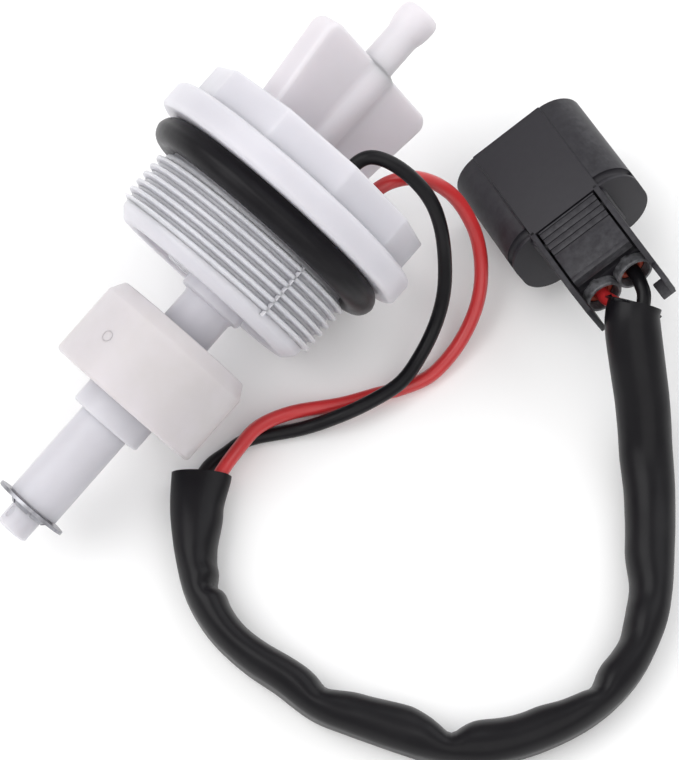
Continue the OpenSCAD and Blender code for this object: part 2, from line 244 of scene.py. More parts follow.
def join(*pieces):
    only(pieces[0])
    for piece in pieces[1:]:
        piece.select_set(True)
    bpy.ops.object.join()
    return pieces[0]


def move(piece, matrix):
    piece.data.transform(matrix)
    return piece


def choose(piece, test):
    """Enter edit mode with only the faces selected whose centre and normal pass the test."""
    only(piece)
    bpy.ops.object.mode_set(mode="EDIT")
    bpy.ops.mesh.select_mode(type="FACE")
    shape = bmesh.from_edit_mesh(piece.data)
    for face in shape.faces:
        face.select_set(bool(test(face.calc_center_median(), face.normal)))
    bmesh.update_edit_mesh(piece.data)


def finish(piece, place, body, material, nodes=(), angle=32):
    """Put a finished piece in its place, on its body, with its material."""
    if bpy.context.object and bpy.context.object.mode != "OBJECT":
        bpy.ops.object.mode_set(mode="OBJECT")
    piece.data.transform(place)
    piece.data.materials.clear()
    piece.data.materials.append(material)
    only(piece)
    bpy.ops.object.shade_smooth_by_angle(angle=math.radians(angle))
    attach(piece, body)
    if nodes:
        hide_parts(*nodes)
    return piece


# ---------------------------------------------------------------- material helpers

def new_group(name, inputs, outputs):
    group = bpy.data.node_groups.new(name, "ShaderNodeTree")
    for title, kind, value in inputs:
        socket = group.interface.new_socket(title, in_out="INPUT", socket_type=kind)
        socket.default_value = value
    for title, kind in outputs:
        group.interface.new_socket(title, in_out="OUTPUT", socket_type=kind)
    return group, Nodes(group)


class Nodes:
    """Short ways to add nodes to a tree and link them."""

    def __init__(self, tree):
        self.tree = tree

    def add(self, kind, **settings):
        node = self.tree.nodes.new(kind)
        for key, value in settings.items():
            setattr(node, key, value)
        return node

    def link(self, source, target):
        self.tree.links.new(source, target)

    def feed(self, target, value):
        if isinstance(value, bpy.types.NodeSocket):
            self.link(value, target)
        else:
            target.default_value = value

    def maths(self, operation, first, second=0.0):
        node = self.add("ShaderNodeMath", operation=operation)
        self.feed(node.inputs[0], first)
        self.feed(node.inputs[1], second)
        return node.outputs[0]

    def noise(self, vector, scale, detail=3.0, roughness=0.55):
        node = self.add("ShaderNodeTexNoise")
        self.link(vector, node.inputs["Vector"])
        self.feed(node.inputs["Scale"], scale)
        node.inputs["Detail"].default_value = detail
        node.inputs["Roughness"].default_value = roughness
        return node.outputs["Fac"]

    def spread(self, value, low, high, to_low=0.0, to_high=1.0):
        node = self.add("ShaderNodeMapRange")
        self.link(value, node.inputs["Value"])
        for title, number in (("From Min", low), ("From Max", high),
                              ("To Min", to_low), ("To Max", to_high)):
            self.feed(node.inputs[title], number)
        return node.outputs["Result"]

    def blend(self, share, first, second):
        node = self.add("ShaderNodeMix", data_type="RGBA")
        self.feed(node.inputs["Factor"], share)
        self.feed(node.inputs[6], first)
        self.feed(node.inputs[7], second)
        return node.outputs[2]


NUMBER, COLOUR = "NodeSocketFloat", "NodeSocketColor"


def moulded_surface_group():
    """Cloudy colour, fine grain and uneven gloss of a moulded or drawn surface."""
    group, nodes = new_group(
        "moulded_surface",
        [("Colour", COLOUR, (0.8, 0.8, 0.8, 1)), ("Cloud colour", COLOUR, (0.7, 0.7, 0.7, 1)),
         ("Cloud size", NUMBER, 150.0), ("Cloud share", NUMBER, 0.5),
         ("Grain size", NUMBER, 3000.0), ("Roughness", NUMBER, 0.4), ("Gloss spread", NUMBER, 0.1)],
        [("Colour", COLOUR), ("Roughness", NUMBER), ("Height", NUMBER)])
    given = nodes.add("NodeGroupInput").outputs
    out = nodes.add("NodeGroupOutput").inputs
    place = nodes.add("ShaderNodeTexCoord").outputs["Object"]
    clouds = nodes.spread(nodes.noise(place, given["Cloud size"], 4), 0.32, 0.68)
    share = nodes.maths("MULTIPLY", clouds, given["Cloud share"])
    nodes.link(nodes.blend(share, given["Colour"], given["Cloud colour"]), out["Colour"])
    grain = nodes.noise(place, given["Grain size"], 2)
    smears = nodes.noise(place, nodes.maths("MULTIPLY", given["Cloud size"], 2.3), 3)
    smears_and_grain = nodes.maths("ADD", smears, nodes.maths("MULTIPLY", grain, 0.4))
    uneven = nodes.maths("SUBTRACT", smears_and_grain, 0.7)
    gloss = nodes.maths("MULTIPLY", uneven, given["Gloss spread"])
    nodes.link(nodes.maths("ADD", given["Roughness"], gloss), out["Roughness"])
    nodes.link(nodes.maths("ADD", grain, nodes.maths("MULTIPLY", clouds, 0.6)), out["Height"])
    return group


def edge_wear_group():
    """A mask that is strong on rubbed outer edges and broken up by noise."""
    group, nodes = new_group(
        "edge_wear", [("Amount", NUMBER, 0.5), ("Break-up size", NUMBER, 900.0)],
        [("Mask", NUMBER)])
    given = nodes.add("NodeGroupInput").outputs
    out = nodes.add("NodeGroupOutput").inputs
    place = nodes.add("ShaderNodeTexCoord").outputs["Object"]
    edges = nodes.spread(nodes.add("ShaderNodeNewGeometry").outputs["Pointiness"], 0.52, 0.60)
    broken = nodes.spread(nodes.noise(place, given["Break-up size"], 3), 0.35, 0.65)
    nodes.link(nodes.maths("MULTIPLY", nodes.maths("MULTIPLY", edges, broken), given["Amount"]),
               out["Mask"])
    return group


def material(name, base, cloud, cloud_size=160.0, cloud_share=0.5, grain_size=2600.0,
             roughness=0.4, spread=0.12, bump=0.1, worn=None, worn_share=0.0, **sockets):
    """A moulded, drawn or rolled material; the last words are the shader's own sockets."""
    made = bpy.data.materials.new(name)
    made.use_nodes = True
    made.node_tree.nodes.clear()
    nodes = Nodes(made.node_tree)
    shader = nodes.add("ShaderNodeBsdfPrincipled")
    output = nodes.add("ShaderNodeOutputMaterial")
    nodes.link(shader.outputs["BSDF"], output.inputs["Surface"])
    surface = nodes.add("ShaderNodeGroup", node_tree=bpy.data.node_groups["moulded_surface"])
    for title, value in (("Colour", (*base, 1)), ("Cloud colour", (*cloud, 1)),
                         ("Cloud size", cloud_size), ("Cloud share", cloud_share),
                         ("Grain size", grain_size), ("Roughness", roughness),
                         ("Gloss spread", spread)):
        surface.inputs[title].default_value = value
    tint = surface.outputs["Colour"]
    if worn:
        wear = nodes.add("ShaderNodeGroup", node_tree=bpy.data.node_groups["edge_wear"])
        wear.inputs["Amount"].default_value = worn_share
        tint = nodes.blend(wear.outputs["Mask"], tint, (*worn, 1))
    nodes.link(tint, shader.inputs["Base Color"])
    nodes.link(surface.outputs["Roughness"], shader.inputs["Roughness"])
    lift = nodes.add("ShaderNodeBump")
    lift.inputs["Strength"].default_value = bump
    lift.inputs["Distance"].default_value = 0.05 * MM
    nodes.link(surface.outputs["Height"], lift.inputs["Height"])
    nodes.link(lift.outputs["Normal"], shader.inputs["Normal"])
    for title, value in sockets.items():
        shader.inputs[title.replace("_", " ")].default_value = value
    return made


def shade(rgb, factor):
    return tuple(min(1.0, c * factor) for c in rgb)


def make_materials(colours):
    moulded_surface_group()
    edge_wear_group()
    nylon, knob, milk = tuple(colours.nylon), tuple(colours.knob), tuple(colours.float_body)
    black, housing = tuple(colours.black), tuple(colours.housing)
    soft = {"Subsurface_Weight": 0.7, "Subsurface_Radius": (0.004, 0.0037, 0.0036),
            "Subsurface_Scale": 1.1}
    material("nylon_white", nylon, shade(nylon, 0.93), roughness=0.38, bump=0.12, **soft)
    material("nylon_knob", knob, shade(knob, 0.94), 120, 0.6, roughness=0.42, bump=0.12, **soft)
    material("nylon_stem", shade(nylon, 0.94), shade(nylon, 0.88), 200, 0.5, roughness=0.40,
             bump=0.10, **soft)
    material("float_milky", milk, (0.54, 0.51, 0.51), 95, 0.75, roughness=0.46, spread=0.25,
             bump=0.25, Subsurface_Weight=0.4, Subsurface_Radius=(0.006, 0.0055, 0.005),
             Subsurface_Scale=0.5)
    material("rubber_black", tuple(colours.rubber), (0.012, 0.011, 0.013), 260, 0.5,
             roughness=0.36, spread=0.15, bump=0.12, Specular_IOR_Level=0.16)
    material("wire_red", tuple(colours.red), shade(colours.red, 0.85), 220, 0.5,
             roughness=0.34, bump=0.06, Coat_Weight=0.25, Coat_Roughness=0.2)
    material("wire_black", black, (0.010, 0.0095, 0.011), 220, 0.5, roughness=0.36, bump=0.06,
             Specular_IOR_Level=0.18, Coat_Weight=0.04, Coat_Roughness=0.2)
    material("sleeve_black", black, (0.010, 0.0095, 0.011), 130, 0.6, 1500, roughness=0.36,
             spread=0.15, bump=0.12, Specular_IOR_Level=0.16, Coat_Weight=0.04,
             Coat_Roughness=0.22)
    material("housing_black", housing, shade(housing, 1.15), 140, 0.3, 4200, roughness=0.50,
             spread=0.06, bump=0.16, worn=(0.06, 0.06, 0.066), worn_share=0.5,
             Specular_IOR_Level=0.38)
    material("lever_black", shade(housing, 0.95), shade(housing, 1.1), 180, 0.3, 4200,
             roughness=0.48, spread=0.06, bump=0.16, worn=(0.07, 0.07, 0.077), worn_share=0.5,
             Specular_IOR_Level=0.38)
    material("rim_grey", (0.05, 0.05, 0.055), (0.085, 0.085, 0.092), 500, 0.7, roughness=0.40,
             bump=0.2, worn=(0.30, 0.30, 0.32), worn_share=0.8)
    material("silicone_red", tuple(colours.seal), shade(colours.seal, 0.6), 420, 0.7,
             roughness=0.5, bump=0.2)
    material("steel_plated", tuple(colours.steel), shade(colours.steel, 1.6), 500, 0.6, 5200,
             roughness=0.34, spread=0.2, bump=0.1, worn=(0.5, 0.5, 0.52), worn_share=0.5,
             Metallic=1.0)
    material("tin", (0.62, 0.60, 0.55), (0.50, 0.48, 0.44), 600, 0.6, roughness=0.3,
             bump=0.1, Metallic=1.0)
    material("resin_black", (0.013, 0.013, 0.016), (0.022, 0.022, 0.026), 200, 0.6,
             roughness=0.16, spread=0.15, bump=0.2, Coat_Weight=0.4)
    material("ferrite_dark", (0.045, 0.044, 0.048), (0.07, 0.068, 0.07), 700, 0.7,
             roughness=0.6, bump=0.3)
    material("switch_glass", (0.75, 0.86, 0.80), (0.68, 0.80, 0.75), 500, 0.4, roughness=0.08,
             spread=0.02, bump=0.02, Transmission_Weight=0.9)


def dressed(name):
    return bpy.data.materials[name]


# ---------------------------------------------------------------- routes, in metres

def metres(*points):
    return [Vector(p) * MM for p in points]


BLACK_ROUTE = metres(
    (18.3, -8.2, 33), (20.8, -8, 33.8), (22.9, -9.1, 34.4), (24.5, -11.7, 33.6),
    (25.7, -15.1, 31), (26.3, -18.1, 27), (26, -20.5, 22), (24.7, -22.8, 16),
    (22.2, -25.1, 11), (18.8, -26.7, 7.4), (14.2, -27.9, 5.2), (9, -28.5, 4.3),
    (3.9, -27.3, 4.1), (-1.1, -25.1, 3.3), (-6.1, -21.7, 1.3), (-12.6, -17, 1.2),
    (-16.7, -15.9, 1.2), (-21.5, -15.8, 2.2))
RED_ROUTE = metres(
    (19.4, -11.5, 28.4), (21.9, -11.5, 28.6), (24.4, -12.3, 28.6), (27.4, -13.8, 27.2),
    (29.9, -15.9, 24.4), (31.6, -18.5, 20.5), (31.9, -21.4, 16.5), (31.3, -24, 12.5),
    (29.2, -26.7, 9), (26.2, -28.8, 6.5), (22.5, -30.1, 4.2), (18.1, -30.7, 2.4),
    (13.3, -30.4, 1.5), (8.9, -28.4, 1.2), (5.9, -26.4, 1.2), (0.8, -23.4, 1.4),
    (-5.5, -19.2, 2.7), (-10.9, -17.3, 3.9), (-15.3, -17.4, 3.9), (-21.2, -18.5, 4.4))
SLEEVE_ROUTE = metres(
    (-22.6, -16.2, 3.9), (-27.4, -20.2, 3.9), (-31.6, -25, 3.9), (-34.6, -29.8, 3.9),
    (-36.2, -35.4, 3.9), (-36.3, -41.3, 3.9), (-35.5, -47.1, 3.9), (-35, -53, 3.9),
    (-33.2, -58, 3.9), (-30.6, -64.3, 3.9), (-27.7, -70.2, 3.9), (-23.5, -74.8, 3.9),
    (-17.4, -78.6, 3.9), (-10.1, -81.2, 3.9), (-2.9, -81.6, 3.9), (3.9, -79.9, 3.9),
    (8.6, -77.4, 3.9), (14.1, -73.3, 3.9), (20.2, -68.4, 3.9), (25.4, -63.2, 5.6),
    (29.2, -58.9, 9.4), (32.5, -54.5, 13.6), (35.8, -50.4, 16.7), (37.7, -49.2, 17.5))
BLACK_TAIL = metres(
    (37.6, -50.6, 17.6), (39.5, -49.3, 18.2), (40.6, -47.7, 18.2), (41.5, -46.1, 17.7),
    (42.6, -43.1, 16.8))
RED_TAIL = metres(
    (35.6, -48.9, 16.3), (36.2, -47.4, 16.7), (36.2, -46, 16.4), (36.3, -44.6, 15.8),
    (37.4, -41.7, 14.9))


def smooth_line(points, steps=6):
    """Points on a smooth line through the given ones."""
    line = []
    for i in range(len(points) - 1):
        a, b = points[max(i - 1, 0)], points[i]
        c, d = points[i + 1], points[min(i + 2, len(points) - 1)]
        for k in range(steps):
            t = k / steps
            line.append(0.5 * (2 * b + (c - a) * t + (2 * a - 5 * b + 4 * c - d) * t ** 2
                               + (3 * b - a - 3 * c + d) * t ** 3))
    line.append(points[-1].copy())
    return line


def line_length(line):
    return sum((b - a).length for a, b in zip(line, line[1:]))


def beside(points, sides, drop):
    """The same route, moved to one side and down, for a wire inside the sleeve."""
    moved = []
    for i, (point, side) in enumerate(zip(points, sides)):
        along = points[min(i + 1, len(points) - 1)] - points[max(i - 1, 0)]
        across = along.cross(Vector((0, 0, 1))).normalized()
        moved.append(point + across * side + Vector((0, 0, drop)))
    return moved


# ---------------------------------------------------------------- operators

class VALVE_OT_materials(bpy.types.Operator):
    """Make the materials"""
    bl_idname = "valve.materials"
    bl_label = "Materials"

    def execute(self, context):
        make_materials(context.scene.valve_colours)
        return {"FINISHED"}


class VALVE_OT_camera(bpy.types.Operator):
    """Place the camera above the valve"""
    bl_idname = "valve.camera"
    bl_label = "Camera"

    def execute(self, context):
        azimuth, elevation = math.radians(-47.543), math.radians(68.964)
        back = Vector((math.sin(azimuth) * math.cos(elevation),
                       -math.cos(azimuth) * math.cos(elevation), math.sin(elevation)))
        right = Vector((math.cos(azimuth), math.sin(azimuth), 0))
        up = back.cross(right)
        view = Matrix((right, up, back)).transposed().to_4x4()
        view.translation = Vector((-98.616, -114.102, 361.697)) * MM
        data = bpy.data.cameras.new("camera")
        data.sensor_fit = "VERTICAL"
        data.sensor_height = 36
        data.lens = 118.42
        data.clip_start, data.clip_end = 0.01, 10
        camera = bpy.data.objects.new("camera", data)
        context.scene.collection.objects.link(camera)
        camera.matrix_world = view
        context.scene.camera = camera
        return {"FINISHED"}


# How wide the sleeve is at each point of its route, as a share of its full width; it is
# drawn in on the inner side of its curve
WAIST = (1, 0.92, 0.8, 0.68, 0.66, 0.65, 0.66, 0.69, 0.8, 0.84, 0.66, 0.84, 0.79, 0.63, 0.7,
         0.75, 0.81, 0.89, 0.94, 0.98, 1, 1, 1, 1)


def waist(place):
    i = min(int(place), len(WAIST) - 2)
    share = place - i
    share = share * share * (3 - 2 * share)
    return WAIST[i] * (1 - share) + WAIST[i + 1] * share


class VALVE_OT_wires(bpy.types.Operator):
    """Lay the black and the red wire from the plug through the sleeve to the connector"""
    bl_idname = "valve.wires"
    bl_label = "Wires"

    def execute(self, context):
        thick = context.scene.cord_sizes.wire
        inner = SLEEVE_ROUTE[1:-1]
        half_sleeve = context.scene.cord_sizes.sleeve / 2
        for name, route, tail, side, exit_point in (
                ("wire_black", BLACK_ROUTE, BLACK_TAIL, 1.3, (18.4, -8.2, 33)),
                ("wire_red", RED_ROUTE, RED_TAIL, -1.3, (19.4, -11.5, 28.4))):
            sides = [(1 - share) * half_sleeve + side * share * 0.55 * MM
                     for share in WAIST[1:-1]]
            hidden = beside(inner, sides, (0.9 if side > 0 else -1.5) * MM)
            line = smooth_line(route + hidden + tail, 5)
            data = bpy.data.curves.new(name, "CURVE")
            data.dimensions = "3D"
            data.bevel_depth = thick / 2
            data.bevel_resolution = 4
            data.use_fill_caps = True
            spline = data.splines.new("POLY")
            spline.points.add(len(line) - 1)
            for place, point in zip(spline.points, line):
                place.co = (*point, 1)
            spline.use_smooth = True
            wire = bpy.data.objects.new(name, data)
            context.scene.collection.objects.link(wire)
            data.materials.append(dressed(name))
            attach(wire, "sensor")
            node = name.split("_")[1] + "_wire"
            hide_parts(node, node + "_tail")
        return {"FINISHED"}


# Folds of the sleeve: place along the route's points, side (1 is the inner side of its
# curve), depth in millimetres and half width in millimetres
FOLDS = ((2.2, 1, 0.7, 2.2), (3.0, 1, 1.3, 1.0), (4.4, 1, 0.5, 4), (6.9, 1, 0.9, 1.6),
         (7.6, 1, 0.6, 4.5), (10.1, 1, 1.3, 1.3), (11.3, 1, 0.5, 5), (13.3, 1, 1.3, 1.2),
         (14.6, 1, 0.8, 2), (15.9, 1, 0.7, 3), (20.0, 1, 0.3, 4))


class VALVE_OT_sleeve(bpy.types.Operator):
    """Lay the soft sleeve, flattened at its mouth and folded on the inside of its bends"""
    bl_idname = "valve.sleeve"
    bl_label = "Sleeve"

    def execute(self, context):
        sizes = context.scene.cord_sizes
        steps, sides = 9, 40
        line = smooth_line(SLEEVE_ROUTE, steps)
        step_mm = line_length(line) / (len(line) - 1) / MM
        radius = sizes.sleeve / 2 / MM
        points = []
        for i, point in enumerate(line):
            along = (line[min(i + 1, len(line) - 1)] - line[max(i - 1, 0)]).normalized()
            across = along.cross(Vector((0, 0, 1))).normalized()
            over = across.cross(along)
            place = i / steps
            mouth = math.exp(-(place / 1.1) ** 2)
            wave = 0.016 * math.sin(place * 1.3) + 0.006 * math.sin(place * 4.1 + 1)
            wide = radius * (1 + 0.10 * mouth + wave)
            narrow = waist(place)
            high = radius * (0.97 - 0.30 * mouth - wave + 0.25 * (1 - narrow))
            for k in range(sides):
                angle = 2 * math.pi * k / sides
                c, s = math.cos(angle), math.sin(angle)
                x, z = wide * c, high * s
                for where, side, depth, half in FOLDS:
                    gap_mm = (place - where) * steps * step_mm
                    facing = max(0.0, -side * c * 0.8 + s * 0.45)
                    dent = depth * math.exp(-(gap_mm / half) ** 2)
                    swell = 0.15 * depth * math.exp(-((abs(gap_mm) - 2.6 * half) / half) ** 2)
                    share = (dent - swell) * facing ** 1.5 / radius
                    x, z = x * (1 - share), z * (1 - share)
                x = min((1 - narrow) * radius + narrow * x, (0.95 + 0.1 * mouth) * radius)
                spot = point + (across * x + over * z) * MM
                spot.z = max(spot.z, 0.03 * MM)
                points.append(spot)
        faces = [(i * sides + k, (i + 1) * sides + k, (i + 1) * sides + (k + 1) % sides,
                  i * sides + (k + 1) % sides)
                 for i in range(len(line) - 1) for k in range(sides)]
        data = bpy.data.meshes.new("sleeve")
        data.from_pydata(points, [], faces)
        sleeve = bpy.data.objects.new("sleeve", data)
        context.scene.collection.objects.link(sleeve)
        outwards(sleeve, "sleeve")
        use(sleeve, "SOLIDIFY", thickness=sizes.sleeve_wall, offset=-1)
        finish(sleeve, Matrix.Identity(4), "sensor", dressed("sleeve_black"),
               ["cable_sleeve"], 60)
        return {"FINISHED"}


class VALVE_OT_plug(bpy.types.Operator):
    """Build the threaded plug with its flange and ten-sided cap"""
    bl_idname = "valve.plug"
    bl_label = "Threaded plug"

    def execute(self, context):
        sizes = context.scene.valve_sizes
        flange, thick = sizes.flange_radius / MM, sizes.flange_height / MM
        top = thick + sizes.cap_height / MM
        crest, pitch = sizes.thread_radius / MM, sizes.pitch / MM
        thread_depth = 0.92
        root = crest - thread_depth
        front, floor_z, groove_z = -16.7, -15.7, -4.7   # nose, its dished floor, O-ring groove
        edge = 0.9                                      # rounding of the flange's two edges
        arc = [math.radians(angle) for angle in range(0, 91, 18)]
        body = turned("plug_body", [
            (2, floor_z), (13.4, floor_z), (13.6, front + 0.1), (15.6, front + 0.02),
            (root, -15), (root, groove_z - 0.2), (16.3, groove_z), (16.3, -0.02),
            *((flange - edge + edge * math.sin(a), edge - edge * math.cos(a)) for a in arc),
            *((flange - edge + edge * math.cos(a), thick - edge + edge * math.sin(a))
              for a in arc),
            (18, thick + 0.05), (2, thick + 0.05)], 128)
        soften(body, 0.55, 3)
        inlet = rod("inlet_cup", 4.6, floor_z - 0.6, floor_z + 0.4)
        move(inlet, shift(DRAIN_OFF, 0, 0))
        soften(inlet, 0.3)
        for drilled in (body, inlet):
            cut(drilled, move(rod("drill", 1.6, -18, -6), shift(DRAIN_OFF, 0, 0)))

        clear_selection()
        bpy.ops.mesh.primitive_circle_add(vertices=10, radius=sizes.cap_radius / MM,
                                          enter_editmode=True, fill_type="NGON")
        select_all_points()
        bpy.ops.transform.rotate(value=math.radians(5), orient_axis="Z",
                                 center_override=(0, 0, 0))
        bpy.ops.transform.translate(value=(0, 0, thick - 0.4))
        bpy.ops.mesh.select_all(action="SELECT")
        extrude(z=top - thick + 0.4)
        cap = out_of_edit("cap")
        soften(cap, 0.45, 3, 20)
        pocket = slab("pocket", (1.2, 16.4), (-4.4, 4.4), (5, 12), 4.38, 12)
        cut(cap, pocket, move(rod("spindle_hole", 3.05, 5, 12), shift(DRAIN_OFF, 0, 0)))

        # The thread's ridge: one turn of its section, screwed through six turns
        clear_selection()
        bpy.ops.mesh.primitive_plane_add(size=1, enter_editmode=True)
        ridge_shape = bmesh.from_edit_mesh(bpy.context.object.data)
        flank = pitch / 2 - 0.12
        for vertex in ridge_shape.verts:
            inner = vertex.co.x < 0
            half = flank if inner else 0.23
            vertex.co = (root - 0.35 if inner else crest, 0, math.copysign(half, vertex.co.y))
        bmesh.update_edit_mesh(bpy.context.object.data)
        bpy.ops.mesh.delete(type="ONLY_FACE")
        bpy.ops.object.mode_set(mode="OBJECT")
        ridge = bpy.context.object
        turns, round_steps = 6.0, 128
        use(ridge, "SCREW", angle=math.tau * turns, screw_offset=pitch * turns, axis="Z",
            steps=int(round_steps * turns), render_steps=int(round_steps * turns),
            use_merge_vertices=False)
        only(ridge)
        bpy.ops.object.mode_set(mode="EDIT")
        select_all_points()
        bpy.ops.mesh.fill_holes(sides=0)
        bpy.ops.object.mode_set(mode="OBJECT")
        length_z = pitch * turns
        for vertex in ridge.data.vertices:
            height = vertex.co.z / length_z
            fade = min(1, max(0, min(height, 1 - height) * turns * 5))
            radius = math.hypot(vertex.co.x, vertex.co.y)
            if radius > root:
                keep = (root - 0.2 + (radius - root + 0.2) * fade) / radius
                vertex.co.x *= keep
                vertex.co.y *= keep
        outwards(ridge, "ridge")
        move(ridge, shift(0, 0, -14.1) @ turn(180, "Z"))
        soften(ridge, 0.08, 1, 40)

        # Parting line along the thread, where the mould's halves met
        seam = slab("seam", (root - 0.4, crest + 0.02), (-0.06, 0.06), (-14.6, groove_z - 0.6))
        move(seam, turn(-7, "Z"))
        body = join(body, inlet, cap, ridge, seam)
        finish(body, SENSOR, "sensor", dressed("nylon_white"), ["threaded_body"])
        return {"FINISHED"}


class VALVE_OT_ring(bpy.types.Operator):
    """Build the large O-ring with the flash line of its mould"""
    bl_idname = "valve.ring"
    bl_label = "O-ring"

    def execute(self, context):
        section = context.scene.valve_sizes.ring_section / MM / 2
        bore = 16.35
        outer = bore + 2 * section
        clear_selection()
        bpy.ops.mesh.primitive_torus_add(major_segments=144, minor_segments=32,
                                         major_radius=bore + section, minor_radius=section)
        ring = bpy.context.object
        ring.name = ring.data.name = "body_ring"
        choose(ring, lambda c, n: math.hypot(c.x, c.y) > outer - 0.03 and abs(n.z) < 0.3)
        bpy.ops.mesh.inset(thickness=0.12, depth=0.0)
        bpy.ops.transform.resize(value=(1.002, 1.002, 1), center_override=(0, 0, 0))
        bpy.ops.object.mode_set(mode="OBJECT")
        move(ring, shift(0, 0, -section - 0.03))
        finish(ring, SENSOR, "sensor", dressed("rubber_black"),
               ["body_o_ring"], 60)
        return {"FINISHED"}


class VALVE_OT_stem(bpy.types.Operator):
    """Build the stem that guides the float"""
    bl_idname = "valve.stem"
    bl_label = "Stem"

    def execute(self, context):
        radius = context.scene.valve_sizes.stem_radius / MM
        stem = turned("stem", [
            (2.2, -62.2), (2.55, -61.9), (2.55, -57.5), (radius - 0.3, -57.4), (radius, -57.1),
            (radius, -18.6), (radius + 0.25, -18.1), (5.1, -18), (5.35, -17.75), (5.35, -13.0),
            (radius, -12.9), (radius, 2), (1.5, 2)], 64)
        dimple = rod("dimple", 1, -1, 1)
        move(dimple, shift(0, -2.9, -59.8) @ turn(90, "X") @ Matrix.Diagonal((0.7, 1, 0.6, 1)))
        cut(stem, dimple)
        finish(stem, STEM, "sensor", dressed("nylon_stem"), ["stem_tube"])
        return {"FINISHED"}


class VALVE_OT_float(bpy.types.Operator):
    """Build the float and its liner with the collar"""
    bl_idname = "valve.float"
    bl_label = "Float"

    def execute(self, context):
        sizes = context.scene.valve_sizes
        radius, height = sizes.float_radius / MM, sizes.float_height / MM
        low = -37.5
        high = low + height
        shell = turned("float_shell_body", [
            (5.7, low + 0.35), (7.4, low + 0.3), (7.7, low), (radius - 0.35, low),
            (radius, low + 0.4), (radius, high - 2.3), (radius - 1.25, high - 0.05),
            (radius - 1.6, high),
            (7.2, high), (6.9, high - 0.3), (5.7, high - 0.35), (5.7, low + 0.35)], FINE)
        soften(shell, 0.28, 3, 20)
        # Gate mark: a shallow ring left on the side by the moulding
        clear_selection()
        bpy.ops.mesh.primitive_torus_add(major_segments=32, minor_segments=10,
                                         major_radius=0.8, minor_radius=0.07)
        mark = bpy.context.object
        move(mark, turn(-77, "Z") @ shift(radius - 0.05, 0, low + 6.2) @ turn(90, "Y"))
        shell = join(shell, mark)
        finish(shell, STEM, "float", dressed("float_milky"), ["float_shell"])
        hub = turned("float_liner", [
            (4.5, low - 3.9), (5.7, low - 3.9), (6, low - 3.6), (6, low - 0.02), (5.62, low + 0.1),
            (5.62, high - 0.45), (5.3, high - 0.3), (4.5, high - 0.3), (4.5, low - 3.9)], 64)
        soften(hub, 0.15, 2, 25)
        finish(hub, STEM, "float", dressed("nylon_stem"), ["float_hub"])
        return {"FINISHED"}


class VALVE_OT_knob(bpy.types.Operator):
    """Build the drain screw with its wings and hose barb"""
    bl_idname = "valve.knob"
    bl_label = "Drain knob"

    def execute(self, context):
        sizes = context.scene.valve_sizes
        span, thick = sizes.wing_span / MM, sizes.wing_thickness / MM
        foot, top, hub = 10.5, 26.1, 3.7
        foot_span, wing_root = 11.3, 7     # half span at the foot, where the wings are straight
        clear_selection()
        bpy.ops.mesh.primitive_circle_add(vertices=32, radius=hub, enter_editmode=True,
                                          fill_type="NGON")
        select_all_points()
        bpy.ops.transform.translate(value=(0, 0, foot))
        extrude(z=top - foot)
        knob = out_of_edit("drain_knob_body")
        flank = math.sin(math.radians(45)) * hub
        for side in (1, -1):
            choose(knob, lambda c, n: n.y * side > 0.7 and abs(c.x) < flank)
            extrude(y=side * 3)
            bpy.ops.transform.resize(value=(thick / 2 / flank, 0, 1),
                                     center_override=(0, side * wing_root, 0))
            extrude(y=side * (span - wing_root))
            bpy.ops.object.mode_set(mode="OBJECT")
        for vertex in knob.data.vertices:
            if abs(vertex.co.y) > span - 0.1 and vertex.co.z < foot + 0.1:
                vertex.co.y *= foot_span / span
        only(knob)
        bpy.ops.object.mode_set(mode="EDIT")
        bpy.ops.mesh.select_mode(type="VERT")
        bpy.ops.mesh.select_all(action="SELECT")
        bpy.ops.mesh.dissolve_limited(angle_limit=math.radians(1))
        bpy.ops.mesh.select_all(action="DESELECT")
        bpy.ops.mesh.select_mode(type="EDGE")
        shape = bmesh.from_edit_mesh(knob.data)
        for edge in shape.edges:
            middle = (edge.verts[0].co + edge.verts[1].co) / 2
            if middle.z > top - 0.1 and abs(middle.y) > span - 0.3:
                edge.select_set(True)
        bmesh.update_edit_mesh(knob.data)
        bpy.ops.mesh.bevel(offset=2.4, segments=8, affect="EDGES")
        bpy.ops.object.mode_set(mode="OBJECT")
        soften(knob, 1.0, 5, 14)
        barb = turned("barb", [
            (3.4, top - 0.6), (3.4, top - 0.05), (2.9, top + 0.15), (2.7, top + 0.5),
            (2.7, top + 5.9), (2.78, top + 6.3), (3.04, top + 7.2), (3.2, top + 8.3),
            (3.25, top + 9.5), (3.12, top + 10.3), (2.75, top + 10.9), (1.35, top + 10.9),
            (1.25, top + 10.7), (1.25, top - 0.4), (3.4, top - 0.6)], SMALL)
        soften(barb, 0.12, 2, 25)
        spindle = turned("spindle", [
            (1.9, -5.8), (2.4, -5.3), (2.4, -1), (3, -0.4), (3, 0.4), (2.2, 0.45), (2.2, 1.55),
            (3, 1.6), (3, foot + 0.3)], SMALL)
        knob = join(knob, barb, spindle)
        finish(knob, DRAIN, "drain_screw", dressed("nylon_knob"), ["drain_knob"], 40)
        return {"FINISHED"}


